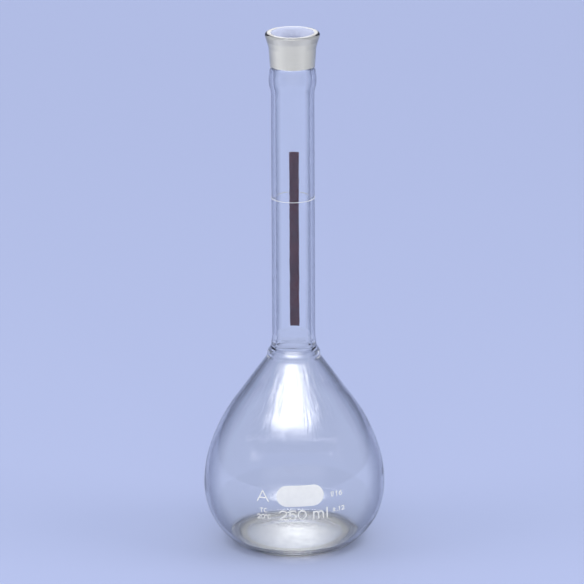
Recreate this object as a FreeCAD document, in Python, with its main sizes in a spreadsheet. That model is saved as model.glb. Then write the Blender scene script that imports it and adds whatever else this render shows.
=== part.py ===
import FreeCAD, Part
import math
import os
import Sketcher
from FreeCAD import Vector

# Volumetric flask, 250 ml. Millimetres, +Z up, origin on the bench at the flask's axis, printed side facing -Y.

doc = FreeCAD.newDocument("volumetric_flask")

# ---------------------------------------------------------------------------------------------------------------
# Driving dimensions
# ---------------------------------------------------------------------------------------------------------------
SIZES = [
    # bulb, outside
    ("bulb_radius", 39.4, "largest outside radius of the bulb"),
    ("equator_height", 26.3, "height of the largest radius"),
    ("heel_radius", 4.0, "round between base and bulb"),
    ("lower_arc", 30.8, "outside arc below the equator"),
    ("upper_arc", 55.0, "outside arc above the equator"),
    ("upper_break", 44.57, "height where the upper arc ends"),
    ("crown_arc", 78.8, "flatter outside arc above it"),
    ("cone_angle", 36.3, "slope of the shoulder cone from the axis, degrees"),
    ("seal_height", 95.0, "seal between bulb and neck tube"),
    # bulb, base
    ("punt_rim", 20.9, "inner radius of the contact ring"),
    ("punt_rise", 1.5, "rise of the pushed-up base at the axis"),
    ("floor_top", 5.0, "top of the glass floor at the axis"),
    ("floor_arc", 600.0, "radius of the slightly domed floor"),
    ("floor_corner", 3.0, "round between floor and wall, inside"),
    # wall and neck
    ("bulb_wall", 1.47, "glass wall of the bulb"),
    ("wall", 1.85, "glass wall of the neck"),
    ("neck_radius", 9.35, "outside radius of the neck tube"),
    ("socket_height", 200.8, "seal between neck tube and socket"),
    # socket, outside
    ("collar_start", 201.2, "end of the plain stub of the collar"),
    ("collar_apex", 207.8, "height of the collar's largest radius"),
    ("collar_radius", 10.3, "largest outside radius of the collar"),
    ("waist_height", 213.2, "waist between collar and ground zone"),
    ("waist_radius", 9.62, "outside radius at the waist"),
    ("flare_height", 222.5, "start of the flared lip"),
    ("flare_radius", 10.28, "outside radius at the start of the flare"),
    ("lip_radius", 11.85, "largest outside radius of the lip"),
    ("rim_height", 228.8, "top of the rim"),
    ("rim_outer", 10.75, "outer edge of the rim's top land"),
    ("rim_inner", 9.35, "inner edge of the rim's top land"),
    # socket, inside: taper of 1 in 10 on the diameter
    ("mouth_radius", 8.62, "bore radius at the rim's inside round"),
    ("ground_top", 225.2, "upper end of the ground taper"),
    ("ground_top_radius", 8.0, "taper radius at its upper end"),
    ("ground_low", 213.95, "lower end of the ground taper"),
    ("ground_low_radius", 7.4375, "taper radius at its lower end"),
    ("relief_radius", 7.7, "bore radius just below the taper"),
    ("collar_bore", 8.45, "largest bore radius inside the collar"),
    # fired enamel
    ("enamel", 0.1, "thickness of the enamel"),
    ("ring_height", 155.7, "height of the calibration ring"),
    ("ring_line", 0.25, "width of the calibration ring's line"),
    ("stripe_start", 95.2, "lower end of the stripe"),
    ("stripe_end", 173.6, "upper end of the stripe"),
    ("stripe_angle", 29.6, "arc that the stripe covers, degrees"),
    ("stripe_turn", 3.4, "turn of the stripe from straight back towards +X, degrees"),
    ("band_low", 14.0, "lowest height of the printed area"),
    ("band_high", 41.0, "highest height of the printed area"),
    ("patch_x", 2.42, "centre of the writing patch"),
    ("patch_z", 32.75, "height of the writing patch"),
    ("patch_span", 11.2, "distance between the centres of its round ends"),
    ("patch_round", 4.62, "radius of its round ends"),
    ("print_tilt", 1.6, "rise of the print to the right, degrees"),
    ("stroke_large", 0.6, "stroke of the large figures"),
    ("stroke_small", 0.36, "stroke of the small figures"),
]

sheet = doc.addObject("Spreadsheet::Sheet", "dims")
sheet.Label = "dims"
for i, (alias, value, note) in enumerate(SIZES, start=1):
    sheet.set("A%d" % i, note)
    sheet.set("B%d" % i, repr(float(value)))
    sheet.setAlias("B%d" % i, alias)
doc.recompute()


def val(alias):
    return float(sheet.get(alias))


# ---------------------------------------------------------------------------------------------------------------
# Sketch helpers: profiles lie in the XZ plane, sketch x is the radius and sketch y the height
# ---------------------------------------------------------------------------------------------------------------
ORIGIN = (-1, 1)
V_AXIS = -2
H_AXIS = -1


def origin_plane(body, role):
    for feature in body.Origin.OriginFeatures:
        if feature.Role == role:
            return feature
    raise RuntimeError("no plane " + role)


def body_with_sketch(name):
    body = doc.addObject("PartDesign::Body", name)
    body.Label = name
    sketch = body.newObject("Sketcher::SketchObject", name + "_profile")
    sketch.AttachmentSupport = [(origin_plane(body, "XZ_Plane"), "")]
    sketch.MapMode = "FlatFace"
    return body, sketch


class Profile:
    """Geometry and driven constraints of one sketch."""

    def __init__(self, sketch):
        self.sketch = sketch

    def line(self, a, b):
        return self.sketch.addGeometry(Part.LineSegment(Vector(a[0], a[1], 0), Vector(b[0], b[1], 0)), False)

    def arc(self, centre, radius, start, end):
        circle = Part.Circle(Vector(centre[0], centre[1], 0), Vector(0, 0, 1), radius)
        return self.sketch.addGeometry(Part.ArcOfCircle(circle, start, end), False)

    def arc_through(self, a, b, radius, left):
        # arc from a to b (counter-clockwise); the centre lies on the left of a->b when left is true
        mid = ((a[0] + b[0]) / 2, (a[1] + b[1]) / 2)
        dx, dy = b[0] - a[0], b[1] - a[1]
        chord = math.hypot(dx, dy)
        off = math.sqrt(radius * radius - chord * chord / 4) * (1 if left else -1)
        centre = (mid[0] - dy / chord * off, mid[1] + dx / chord * off)
        start = math.atan2(a[1] - centre[1], a[0] - centre[0])
        end = math.atan2(b[1] - centre[1], b[0] - centre[0])
        if end < start:
            end += 2 * math.pi
        return self.arc(centre, radius, start, end)

    def rule(self, *args):
        return self.sketch.addConstraint(Sketcher.Constraint(*args))

    def drive(self, name, expression, *args):
        index = self.rule(*args)
        self.sketch.renameConstraint(index, name)
        self.sketch.setExpression("Constraints." + name, expression)

    def at_x(self, name, expression, value, geo, pos):
        self.drive(name, expression, "DistanceX", ORIGIN[0], ORIGIN[1], geo, pos, value)

    def at_y(self, name, expression, value, geo, pos):
        self.drive(name, expression, "DistanceY", ORIGIN[0], ORIGIN[1], geo, pos, value)

    def join(self, a, pa, b, pb):
        self.rule("Coincident", a, pa, b, pb)

    def smooth(self, a, pa, b, pb):
        self.rule("Tangent", a, pa, b, pb)


def revolve(body, sketch, name):
    feature = body.newObject("PartDesign::Revolution", name)
    feature.Profile = sketch
    feature.ReferenceAxis = (sketch, ["V_Axis"])
    feature.Angle = 360.0
    return feature


# ---------------------------------------------------------------------------------------------------------------
# Bulb: tangent arcs outside, the same arcs a wall thickness in, a pushed-up base on a flat contact ring
# ---------------------------------------------------------------------------------------------------------------
rm, zq = val("bulb_radius"), val("equator_height")
rh, rl, ru, rk = val("heel_radius"), val("lower_arc"), val("upper_arc"), val("crown_arc")
z1, a2 = val("upper_break"), math.radians(val("cone_angle"))
wall, thin = val("wall"), val("bulb_wall")
rn, zs = val("neck_radius"), val("seal_height")

c_low = (rm - rl, zq)
r_contact = c_low[0] + math.sqrt((rl - rh) ** 2 - (zq - rh) ** 2)
c_heel = (r_contact, rh)
a_heel = math.atan2(c_heel[1] - c_low[1], c_heel[0] - c_low[0])
c_up = (rm - ru, zq)
a1 = math.asin((z1 - zq) / ru)
e1 = (c_up[0] + ru * math.cos(a1), c_up[1] + ru * math.sin(a1))
c_crown = (e1[0] - rk * math.cos(a1), e1[1] - rk * math.sin(a1))
e2 = (c_crown[0] + rk * math.cos(a2), c_crown[1] + rk * math.sin(a2))
r_shoulder = ((rn - e2[0]) * math.cos(a2) + (zs - e2[1]) * math.sin(a2)) / (1 - math.cos(a2))
c_shoulder = (rn + r_shoulder, zs)
e3 = (c_shoulder[0] - r_shoulder * math.cos(a2), c_shoulder[1] - r_shoulder * math.sin(a2))
i2 = (c_crown[0] + (rk - thin) * math.cos(a2), c_crown[1] + (rk - thin) * math.sin(a2))
i3 = (c_shoulder[0] - (r_shoulder + wall) * math.cos(a2), c_shoulder[1] - (r_shoulder + wall) * math.sin(a2))

punt_r, punt_h = val("punt_rim"), val("punt_rise")
punt_arc = (punt_r ** 2 + punt_h ** 2) / (2 * punt_h)
c_punt = (0.0, punt_h - punt_arc)
floor_h, floor_arc, rf = val("floor_top"), val("floor_arc"), val("floor_corner")
c_floor = (0.0, floor_h - floor_arc)
# centre of the inside corner: rf inside the inner wall arc and rf above the floor arc
dist_a, dist_b = rl - thin - rf, floor_arc + rf
span = math.hypot(c_low[0] - c_floor[0], c_low[1] - c_floor[1])
along = (dist_b ** 2 - dist_a ** 2 + span ** 2) / (2 * span)
across = math.sqrt(dist_b ** 2 - along ** 2)
ux, uy = (c_low[0] - c_floor[0]) / span, (c_low[1] - c_floor[1]) / span
c_corner = (c_floor[0] + along * ux + across * uy, c_floor[1] + along * uy - across * ux)
a_corner = math.atan2(c_corner[1] - c_low[1], c_corner[0] - c_low[0])
a_floor = math.atan2(c_corner[1] - c_floor[1], c_corner[0] - c_floor[0])
f_end = (c_floor[0] + floor_arc * math.cos(a_floor), c_floor[1] + floor_arc * math.sin(a_floor))

bulb, bulb_sketch = body_with_sketch("bulb")
p = Profile(bulb_sketch)
a_punt = math.atan2(0 - c_punt[1], punt_r)
g_punt = p.arc(c_punt, punt_arc, a_punt, math.pi / 2)
g_land = p.line((punt_r, 0), (r_contact, 0))
g_heel = p.arc(c_heel, rh, -math.pi / 2, a_heel)
g_low = p.arc(c_low, rl, a_heel, 0)
g_up = p.arc(c_up, ru, 0, a1)
g_crown = p.arc(c_crown, rk, a1, a2)
g_cone = p.line(e2, e3)
g_shoulder = p.arc(c_shoulder, r_shoulder, math.pi, math.pi + a2)
g_seal = p.line((rn, zs), (rn - wall, zs))
g_in_shoulder = p.arc(c_shoulder, r_shoulder + wall, math.pi, math.pi + a2)
g_in_cone = p.line(i3, i2)
g_in_crown = p.arc(c_crown, rk - thin, a1, a2)
g_in_up = p.arc(c_up, ru - thin, 0, a1)
g_in_low = p.arc(c_low, rl - thin, a_corner, 0)
g_corner = p.arc(c_corner, rf, a_floor + math.pi, 2 * math.pi + a_corner)
g_floor = p.arc(c_floor, floor_arc, a_floor, math.pi / 2)
g_axis = p.line((0, floor_h), (0, punt_h))

p.join(g_punt, 1, g_land, 1)
p.smooth(g_land, 2, g_heel, 1)
p.smooth(g_heel, 2, g_low, 1)
p.smooth(g_low, 2, g_up, 1)
p.smooth(g_up, 2, g_crown, 1)
p.smooth(g_crown, 2, g_cone, 1)
p.smooth(g_cone, 2, g_shoulder, 2)
p.join(g_shoulder, 1, g_seal, 1)
p.join(g_seal, 2, g_in_shoulder, 1)
p.smooth(g_in_shoulder, 2, g_in_cone, 1)
p.smooth(g_in_cone, 2, g_in_crown, 2)
p.smooth(g_in_crown, 1, g_in_up, 2)
p.smooth(g_in_up, 1, g_in_low, 2)
p.smooth(g_in_low, 1, g_corner, 2)
p.smooth(g_corner, 1, g_floor, 1)
p.join(g_floor, 2, g_axis, 1)
p.join(g_axis, 2, g_punt, 2)

p.rule("PointOnObject", g_axis, 1, V_AXIS)
p.rule("PointOnObject", g_axis, 2, V_AXIS)
p.rule("PointOnObject", g_punt, 3, V_AXIS)
p.rule("PointOnObject", g_floor, 3, V_AXIS)
p.rule("PointOnObject", g_land, 1, H_AXIS)
p.rule("Horizontal", g_land)
p.rule("Horizontal", g_low, 3, g_low, 2)
p.rule("Horizontal", g_shoulder, 3, g_shoulder, 1)
p.rule("Horizontal", g_seal)
p.join(g_in_shoulder, 3, g_shoulder, 3)
p.join(g_in_crown, 3, g_crown, 3)
p.join(g_in_up, 3, g_up, 3)
p.join(g_in_low, 3, g_low, 3)

p.at_x("punt_rim", "dims.punt_rim", punt_r, g_land, 1)
p.at_y("punt_rise", "dims.punt_rise", punt_h, g_axis, 2)
p.at_y("floor_top", "dims.floor_top", floor_h, g_axis, 1)
p.drive("floor_arc", "dims.floor_arc", "Radius", g_floor, floor_arc)
p.drive("floor_corner", "dims.floor_corner", "Radius", g_corner, rf)
p.drive("heel_radius", "dims.heel_radius", "Radius", g_heel, rh)
p.drive("lower_arc", "dims.lower_arc", "Radius", g_low, rl)
p.drive("upper_arc", "dims.upper_arc", "Radius", g_up, ru)
p.drive("crown_arc", "dims.crown_arc", "Radius", g_crown, rk)
p.at_x("bulb_radius", "dims.bulb_radius", rm, g_low, 2)
p.at_y("equator_height", "dims.equator_height", zq, g_low, 2)
p.at_y("upper_break", "dims.upper_break", z1, g_up, 2)
p.drive("cone_angle", "90 + dims.cone_angle", "Angle", g_cone, math.pi / 2 + a2)
p.at_x("neck_radius", "dims.neck_radius", rn, g_shoulder, 1)
p.at_y("seal_height", "dims.seal_height", zs, g_shoulder, 1)
p.at_x("neck_bore", "dims.neck_radius - dims.wall", rn - wall, g_seal, 2)
p.drive("crown_wall", "dims.crown_arc - dims.bulb_wall", "Radius", g_in_crown, rk - thin)
revolve(bulb, bulb_sketch, "bulb_blown")

# ---------------------------------------------------------------------------------------------------------------
# Neck tube: plain tubing between the two seals
# ---------------------------------------------------------------------------------------------------------------
zk = val("socket_height")
neck, neck_sketch = body_with_sketch("neck_tube")
p = Profile(neck_sketch)
corners = [(rn - wall, zs), (rn, zs), (rn, zk), (rn - wall, zk)]
g = [p.line(corners[i], corners[(i + 1) % 4]) for i in range(4)]
for i in range(4):
    p.join(g[i], 2, g[(i + 1) % 4], 1)
p.rule("Horizontal", g[0])
p.rule("Vertical", g[1])
p.rule("Horizontal", g[2])
p.rule("Vertical", g[3])
p.at_x("neck_bore", "dims.neck_radius - dims.wall", rn - wall, g[0], 1)
p.at_y("seal_height", "dims.seal_height", zs, g[0], 1)
p.at_x("neck_radius", "dims.neck_radius", rn, g[2], 1)
p.at_y("socket_height", "dims.socket_height", zk, g[2], 1)
revolve(neck, neck_sketch, "neck_tubing")

# ---------------------------------------------------------------------------------------------------------------
# Stopper socket: collar, ground taper, flared lip with a fire-polished rim
# ---------------------------------------------------------------------------------------------------------------
z_stub, z_apex, r_apex = val("collar_start"), val("collar_apex"), val("collar_radius")
z_waist, r_waist = val("waist_height"), val("waist_radius")
z_flare, r_flare = val("flare_height"), val("flare_radius")
z_rim, r_out, r_in = val("rim_height"), val("rim_outer"), val("rim_inner")
r_lip, r_mouth = val("lip_radius"), val("mouth_radius")
z_gt, r_gt = val("ground_top"), val("ground_top_radius")
z_gl, r_gl = val("ground_low"), val("ground_low_radius")
r_relief, r_bore = val("relief_radius"), val("collar_bore")
rb = rn - wall


def bulge(r_from, r_to, height):
    # radius of the arc that leaves the vertical and comes out by r_to - r_from over that height
    d = r_to - r_from
    return (d * d + height * height) / (2 * d)


def tangent_point(point, centre, radius, side):
    # where a line from the point touches the circle; side picks one of the two
    dx, dy = centre[0] - point[0], centre[1] - point[1]
    dist = math.hypot(dx, dy)
    base = math.atan2(-dy, -dx)
    turn = math.acos(radius / dist) * side
    return (centre[0] + radius * math.cos(base + turn), centre[1] + radius * math.sin(base + turn))


def collar(profile, r_low, r_top, r_end, z_end):
    # S curve from the stub to the apex and the flatter arc above it
    half = bulge(r_low, r_top, z_apex - z_stub) / 2
    c_a = (r_low + half, z_stub)
    c_b = (r_top - half, z_apex)
    angle = math.atan2(c_a[1] - c_b[1], c_a[0] - c_b[0])
    top = bulge(r_end, r_top, z_end - z_apex)
    g_a = profile.arc(c_a, half, math.pi + angle, math.pi)
    g_b = profile.arc(c_b, half, angle, 0)
    g_c = profile.arc((r_top - top, z_apex), top, 0, math.asin((z_end - z_apex) / top))
    return g_a, g_b, g_c


socket, socket_sketch = body_with_sketch("stopper_socket")
p = Profile(socket_sketch)
c_lip = (r_out, z_rim - (r_lip - r_out))
t_lip = tangent_point((r_flare, z_flare), c_lip, r_lip - r_out, 1)
c_mouth = (r_in, z_rim - (r_in - r_mouth))
t_mouth = tangent_point((r_gt, z_gt), c_mouth, r_in - r_mouth, -1)
k_seal = p.line((rb, zk), (rn, zk))
k_stub = p.line((rn, zk), (rn, z_stub))
k_a, k_b, k_c = collar(p, rn, r_apex, r_waist, z_waist)
k_body = p.line((r_waist, z_waist), (r_flare, z_flare))
k_flare = p.line((r_flare, z_flare), t_lip)
k_lip = p.arc(c_lip, r_lip - r_out, math.atan2(t_lip[1] - c_lip[1], t_lip[0] - c_lip[0]), math.pi / 2)
k_land = p.line((r_out, z_rim), (r_in, z_rim))
k_round = p.arc(c_mouth, r_in - r_mouth, math.pi / 2, math.atan2(t_mouth[1] - c_mouth[1], t_mouth[0] - c_mouth[0]) % (2 * math.pi))
k_mouth = p.line(t_mouth, (r_gt, z_gt))
k_ground = p.line((r_gt, z_gt), (r_gl, z_gl))
k_step = p.line((r_gl, z_gl), (r_relief, z_gl))
k_ia, k_ib, k_ic = collar(p, rb, r_bore, r_relief, z_gl)
k_istub = p.line((rb, z_stub), (rb, zk))

p.join(k_seal, 2, k_stub, 1)
p.smooth(k_stub, 2, k_a, 2)
p.smooth(k_a, 1, k_b, 1)
p.smooth(k_b, 2, k_c, 1)
p.join(k_c, 2, k_body, 1)
p.join(k_body, 2, k_flare, 1)
p.smooth(k_flare, 2, k_lip, 1)
p.smooth(k_lip, 2, k_land, 1)
p.smooth(k_land, 2, k_round, 1)
p.smooth(k_round, 2, k_mouth, 1)
p.join(k_mouth, 2, k_ground, 1)
p.join(k_ground, 2, k_step, 1)
p.join(k_step, 2, k_ic, 2)
p.smooth(k_ic, 1, k_ib, 2)
p.smooth(k_ib, 1, k_ia, 1)
p.smooth(k_ia, 2, k_istub, 1)
p.join(k_istub, 2, k_seal, 1)
p.rule("Horizontal", k_seal)
p.rule("Vertical", k_stub)
p.rule("Vertical", k_istub)
p.rule("Horizontal", k_land)
p.rule("Horizontal", k_step)
p.rule("Equal", k_a, k_b)
p.rule("Equal", k_ia, k_ib)
p.rule("Horizontal", k_b, 3, k_b, 2)
p.rule("Horizontal", k_ib, 3, k_ib, 2)

p.at_x("neck_bore", "dims.neck_radius - dims.wall", rb, k_seal, 1)
p.at_x("neck_radius", "dims.neck_radius", rn, k_seal, 2)
p.at_y("socket_height", "dims.socket_height", zk, k_seal, 1)
p.at_y("collar_start", "dims.collar_start", z_stub, k_stub, 2)
p.at_x("collar_radius", "dims.collar_radius", r_apex, k_b, 2)
p.at_y("collar_apex", "dims.collar_apex", z_apex, k_b, 2)
p.at_x("waist_radius", "dims.waist_radius", r_waist, k_body, 1)
p.at_y("waist_height", "dims.waist_height", z_waist, k_body, 1)
p.at_x("flare_radius", "dims.flare_radius", r_flare, k_body, 2)
p.at_y("flare_height", "dims.flare_height", z_flare, k_body, 2)
p.at_x("rim_outer", "dims.rim_outer", r_out, k_land, 1)
p.at_y("rim_height", "dims.rim_height", z_rim, k_land, 1)
p.at_x("rim_inner", "dims.rim_inner", r_in, k_land, 2)
p.drive("lip_round", "dims.lip_radius - dims.rim_outer", "Radius", k_lip, r_lip - r_out)
p.drive("mouth_round", "dims.rim_inner - dims.mouth_radius", "Radius", k_round, r_in - r_mouth)
p.at_x("ground_top_radius", "dims.ground_top_radius", r_gt, k_ground, 1)
p.at_y("ground_top", "dims.ground_top", z_gt, k_ground, 1)
p.at_x("ground_low_radius", "dims.ground_low_radius", r_gl, k_ground, 2)
p.at_y("ground_low", "dims.ground_low", z_gl, k_ground, 2)
p.at_x("relief_radius", "dims.relief_radius", r_relief, k_step, 2)
p.at_x("collar_bore", "dims.collar_bore", r_bore, k_ib, 2)
p.at_y("collar_bore_apex", "dims.collar_apex", z_apex, k_ib, 2)
p.at_y("collar_bore_start", "dims.collar_start", z_stub, k_istub, 1)
revolve(socket, socket_sketch, "socket_moulded")


# ---------------------------------------------------------------------------------------------------------------
# Calibration ring and sight stripe: thin enamel on the neck, the ring open where the stripe runs
# ---------------------------------------------------------------------------------------------------------------
def neck_enamel(name, low, high, low_expr, high_expr, turn_expr, facing):
    body, sketch = body_with_sketch(name)
    q = Profile(sketch)
    t = val("enamel")
    pts = [(rn, low), (rn + t, low), (rn + t, high), (rn, high)]
    lines = [q.line(pts[i], pts[(i + 1) % 4]) for i in range(4)]
    for i in range(4):
        q.join(lines[i], 2, lines[(i + 1) % 4], 1)
    q.rule("Horizontal", lines[0])
    q.rule("Vertical", lines[1])
    q.rule("Horizontal", lines[2])
    q.rule("Vertical", lines[3])
    q.at_x("inside", "dims.neck_radius", rn, lines[0], 1)
    q.at_y("low", low_expr, low, lines[0], 1)
    q.at_x("outside", "dims.neck_radius + dims.enamel", rn + t, lines[2], 1)
    q.at_y("high", high_expr, high, lines[2], 1)
    feature = revolve(body, sketch, name + "_fired")
    feature.Midplane = True
    feature.setExpression("Angle", turn_expr)
    body.Placement = FreeCAD.Placement(Vector(0, 0, 0), FreeCAD.Rotation(Vector(0, 0, 1), facing))
    return body


half_line = val("ring_line") / 2
ring = neck_enamel("calibration_ring", val("ring_height") - half_line, val("ring_height") + half_line,
                   "dims.ring_height - dims.ring_line / 2", "dims.ring_height + dims.ring_line / 2",
                   "360 - dims.stripe_angle", -90 - val("stripe_turn"))
stripe = neck_enamel("sight_stripe", val("stripe_start"), val("stripe_end"),
                     "dims.stripe_start", "dims.stripe_end", "dims.stripe_angle", 90 - val("stripe_turn"))

# ---------------------------------------------------------------------------------------------------------------
# Printed area: a thin shell on the bulb's outside, from which each printed mark is cut
# ---------------------------------------------------------------------------------------------------------------
band, band_sketch = body_with_sketch("print_band")
p = Profile(band_sketch)
t = val("enamel")
z_bl, z_bh = val("band_low"), val("band_high")


def on_arc(centre, radius, z):
    return math.asin((z - centre[1]) / radius)


b_low = p.arc(c_low, rl, on_arc(c_low, rl, z_bl), 0)
b_up = p.arc(c_up, ru, 0, on_arc(c_up, ru, z_bh))
b_top = p.line((c_up[0] + ru * math.cos(on_arc(c_up, ru, z_bh)), z_bh),
               (c_up[0] + (ru + t) * math.cos(on_arc(c_up, ru + t, z_bh)), z_bh))
b_up_out = p.arc(c_up, ru + t, 0, on_arc(c_up, ru + t, z_bh))
b_low_out = p.arc(c_low, rl + t, on_arc(c_low, rl + t, z_bl), 0)
b_bottom = p.line((c_low[0] + (rl + t) * math.cos(on_arc(c_low, rl + t, z_bl)), z_bl),
                  (c_low[0] + rl * math.cos(on_arc(c_low, rl, z_bl)), z_bl))
p.smooth(b_low, 2, b_up, 1)
p.join(b_up, 2, b_top, 1)
p.join(b_top, 2, b_up_out, 2)
p.smooth(b_up_out, 1, b_low_out, 2)
p.join(b_low_out, 1, b_bottom, 1)
p.join(b_bottom, 2, b_low, 1)
p.rule("Horizontal", b_low, 3, b_low, 2)
p.rule("Horizontal", b_top)
p.rule("Horizontal", b_bottom)
p.join(b_up_out, 3, b_up, 3)
p.join(b_low_out, 3, b_low, 3)
p.at_x("bulb_radius", "dims.bulb_radius", rm, b_low, 2)
p.at_y("equator_height", "dims.equator_height", zq, b_low, 2)
p.drive("lower_arc", "dims.lower_arc", "Radius", b_low, rl)
p.drive("upper_arc", "dims.upper_arc", "Radius", b_up, ru)
p.drive("enamel", "dims.lower_arc + dims.enamel", "Radius", b_low_out, rl + t)
p.at_y("band_low", "dims.band_low", z_bl, b_bottom, 1)
p.at_y("band_high", "dims.band_high", z_bh, b_top, 1)
revolve(band, band_sketch, "print_shell")

tilt = math.radians(val("print_tilt"))
pivot = (val("patch_x"), val("patch_z"))


def common(name, tool):
    mark = doc.addObject("Part::Common", name)
    mark.Label = name
    mark.Base = band
    mark.Tool = tool
    return mark


# writing patch: a lozenge with round ends
patch_body, patch_sketch = body_with_sketch("patch_block")
p = Profile(patch_sketch)
span_p, round_p = val("patch_span"), val("patch_round")
ca = (pivot[0] - span_p / 2 * math.cos(tilt), pivot[1] - span_p / 2 * math.sin(tilt))
cb = (pivot[0] + span_p / 2 * math.cos(tilt), pivot[1] + span_p / 2 * math.sin(tilt))
nx, ny = -math.sin(tilt) * round_p, math.cos(tilt) * round_p
w_right = p.arc(cb, round_p, tilt - math.pi / 2, tilt + math.pi / 2)
w_top = p.line((cb[0] + nx, cb[1] + ny), (ca[0] + nx, ca[1] + ny))
w_left = p.arc(ca, round_p, tilt + math.pi / 2, tilt + 3 * math.pi / 2)
w_low = p.line((ca[0] - nx, ca[1] - ny), (cb[0] - nx, cb[1] - ny))
p.smooth(w_right, 2, w_top, 1)
p.smooth(w_top, 2, w_left, 1)
p.smooth(w_left, 2, w_low, 1)
p.smooth(w_low, 2, w_right, 1)
p.rule("Equal", w_left, w_right)
p.drive("patch_round", "dims.patch_round", "Radius", w_right, round_p)
p.drive("patch_span", "dims.patch_span", "Distance", w_low, span_p)
p.drive("print_tilt", "dims.print_tilt", "Angle", w_low, tilt)
p.at_x("patch_x", "dims.patch_x + dims.patch_span / 2 * cos(dims.print_tilt * 1 deg)", cb[0], w_right, 3)
p.at_y("patch_z", "dims.patch_z + dims.patch_span / 2 * sin(dims.print_tilt * 1 deg)", cb[1], w_right, 3)
patch_pad = patch_body.newObject("PartDesign::Pad", "patch_pad")
patch_pad.Profile = patch_sketch
patch_pad.setExpression("Length", "dims.bulb_radius * 1.5")
patch = common("marking_patch", patch_body)


# figures: each is drawn as strokes in a unit box, x to the right and y up
def bow(cx, cy, rx, ry, start, end, n):
    return [(cx + rx * math.cos(math.radians(start + (end - start) * i / n)),
             cy + ry * math.sin(math.radians(start + (end - start) * i / n))) for i in range(n + 1)]


def ring_of(cx, cy, rx, ry, n):
    return bow(cx, cy, rx, ry, 0, 360, n)[:-1]


STROKES = {
    "A": [([(0, 0), (0.5, 1), (1, 0)], False), ([(0.17, 0.34), (0.83, 0.34)], False)],
    "0": [(ring_of(0.5, 0.5, 0.5, 0.5, 28), True)],
    "1": [([(0.18, 0.80), (0.55, 1.0), (0.55, 0)], False)],
    "2": [(bow(0.5, 0.70, 0.46, 0.30, 165, -38, 12) + [(0.04, 0.0), (1.0, 0.0)], False)],
    "5": [([(0.92, 1.0), (0.2, 1.0), (0.1, 0.5)], False), (bow(0.47, 0.325, 0.47, 0.325, 142, -145, 14), False)],
    "6": [(ring_of(0.5, 0.31, 0.46, 0.31, 22), True), (bow(0.86, 0.34, 0.82, 0.66, 178, 100, 8), False)],
    "C": [(bow(0.55, 0.5, 0.52, 0.5, 48, 312, 16), False)],
    "T": [([(0, 1), (1, 1)], False), ([(0.5, 1), (0.5, 0)], False)],
    "m": [([(0, 0), (0, 1)], False), (bow(0.25, 0.66, 0.25, 0.34, 180, 0, 10) + [(0.5, 0)], False),
          (bow(0.75, 0.66, 0.25, 0.34, 180, 0, 10) + [(1.0, 0)], False)],
    "l": [([(0, 0), (0, 1)], False)],
    "deg": [(ring_of(0.5, 0.5, 0.5, 0.5, 16), True)],
    "pm": [([(0, 0.62), (1, 0.62)], False), ([(0.5, 0.25), (0.5, 1.0)], False), ([(0, 0.06), (1, 0.06)], False)],
    "dot": [([(0.0, 0.5), (1.0, 0.5)], False)],
    "taper": [([(0.0, 1.0), (0.28, 0.0), (0.72, 0.0), (1.0, 1.0)], True)],
}


def stroke_wires(points, width, closed):
    # outline of a stroke of that width along the points, with mitred corners
    n = len(points)
    half = width / 2

    def side(sign):
        out = []
        for i in range(n):
            if closed:
                a, b, c = points[i - 1], points[i], points[(i + 1) % n]
            else:
                a, b, c = points[max(i - 1, 0)], points[i], points[min(i + 1, n - 1)]
            dirs = []
            for u, v in ((a, b), (b, c)):
                dx, dy = v[0] - u[0], v[1] - u[1]
                size = math.hypot(dx, dy)
                if size > 1e-9:
                    dirs.append((-dy / size, dx / size))
            if len(dirs) == 1:
                dirs.append(dirs[0])
            mx, my = dirs[0][0] + dirs[1][0], dirs[0][1] + dirs[1][1]
            size = math.hypot(mx, my)
            mx, my = mx / size, my / size
            reach = half / max(mx * dirs[0][0] + my * dirs[0][1], 0.35)
            out.append((b[0] + sign * mx * reach, b[1] + sign * my * reach))
        return out

    if closed:
        return [side(1), side(-1)]
    return [side(1) + side(-1)[::-1]]


def to_wire(points):
    corners = [Vector(x, 0, z) for x, z in points]
    return Part.makePolygon(corners + corners[:1])


def glyph(name, left, low, width, height, stroke):
    # one figure as a prism that runs from the axis out through the printed side
    prisms = []
    for points, closed in STROKES[name]:
        placed = []
        for x, y in points:
            px, pz = left + x * width, low + y * height
            dx, dz = px - pivot[0], pz - pivot[1]
            placed.append((pivot[0] + dx * math.cos(tilt) - dz * math.sin(tilt),
                           pivot[1] + dx * math.sin(tilt) + dz * math.cos(tilt)))
        faces = [Part.Face(to_wire(w)) for w in stroke_wires(placed, stroke, closed)]
        if len(faces) == 2:
            big, small = sorted(faces, key=lambda f: -f.Area)
            faces = [big.cut(small).Faces[0]]
        prisms.append(faces[0].extrude(Vector(0, -1.5 * val("bulb_radius"), 0)))
    solid = prisms[0]
    if len(prisms) > 1:
        solid = solid.fuse(prisms[1:]).removeSplitter()
    return solid


def lettering(name, figures):
    tool = doc.addObject("Part::Feature", name + "_figures")
    tool.Shape = Part.makeCompound([glyph(*figure) for figure in figures])
    tool.Placement = FreeCAD.Placement()
    return common(name, tool)


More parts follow.
